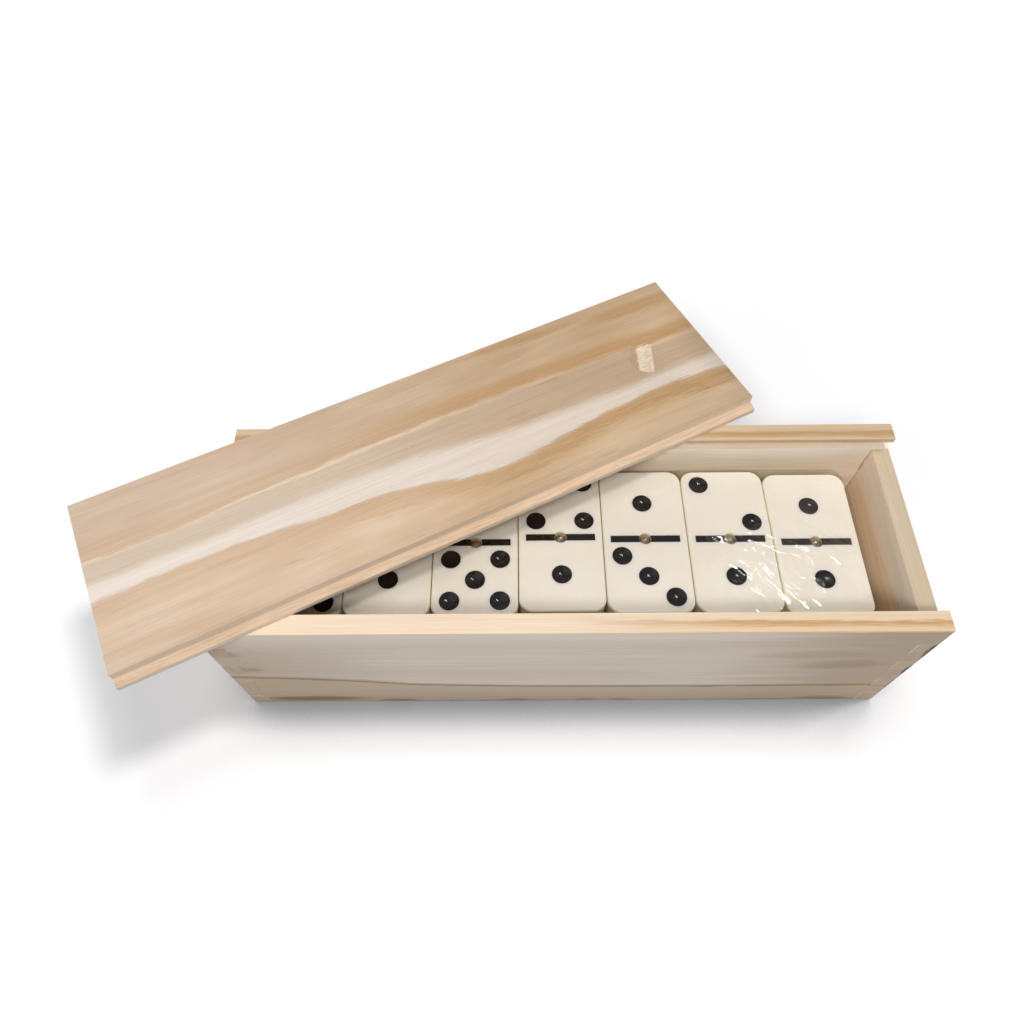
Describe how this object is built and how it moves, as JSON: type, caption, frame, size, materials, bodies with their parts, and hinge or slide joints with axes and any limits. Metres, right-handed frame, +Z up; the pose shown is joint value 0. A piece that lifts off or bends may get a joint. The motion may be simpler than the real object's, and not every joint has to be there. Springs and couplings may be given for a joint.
{
  "type": "domino storage box",
  "caption": "Long open wooden box with grooved sides and a low end, holding a film-wrapped set of spinner-pinned dominoes, with its tongued sliding lid laid askew across the top.",
  "frame": {"origin": "centre of the box's underside, on the surface that it stands on", "axes": "+X along the box towards its low end, +Y away from the front, +Z up"},
  "size_m": [0.2444, 0.1424, 0.0635],
  "materials": {
    "pine_side": "raw planed",
    "pine_end": "raw planed",
    "pine_base": "raw planed",
    "pine_lid": "raw planed",
    "ivory_resin": "polished",
    "black_enamel": "gloss",
    "brass_pin": "polished",
    "clear_film": "clear"
  },
  "bodies": {
    "box": {"side_front": "pine_side", "side_back": "pine_side", "end_left": "pine_end", "end_right": "pine_end", "base_panel": "pine_base"},
    "domino_pack": {"domino_0_0": "ivory_resin", "domino_0_1": "ivory_resin", "domino_0_2": "ivory_resin", "domino_0_3": "ivory_resin", "domino_0_4": "ivory_resin", "domino_0_5": "ivory_resin", "domino_0_6": "ivory_resin", "domino_1_1": "ivory_resin", "domino_1_2": "ivory_resin", "domino_1_3": "ivory_resin", "domino_1_4": "ivory_resin", "domino_1_5": "ivory_resin", "domino_1_6": "ivory_resin", "domino_2_2": "ivory_resin", "domino_2_3": "ivory_resin", "domino_2_4": "ivory_resin", "domino_2_5": "ivory_resin", "domino_2_6": "ivory_resin", "domino_3_3": "ivory_resin", "domino_3_4": "ivory_resin", "domino_3_5": "ivory_resin", "domino_3_6": "ivory_resin", "domino_4_4": "ivory_resin", "domino_4_5": "ivory_resin", "domino_4_6": "ivory_resin", "domino_5_5": "ivory_resin", "domino_5_6": "ivory_resin", "domino_6_6": "ivory_resin", "face_enamel": "black_enamel", "bar_enamel": "black_enamel", "spinner_pins": "brass_pin", "shrink_film": "clear_film"},
    "lid_board": {"lid": "pine_lid"}
  },
  "joints": [
    {"name": "pack_lift", "type": "slide", "parent": "box", "child": "domino_pack", "axis": [0, 0, 1], "range_m": [0, 0.06]},
    {"name": "lid_lift", "type": "slide", "parent": "domino_pack", "child": "lid_board", "axis": [0, 0, 1], "range_m": [0, 0.08]}
  ]
}
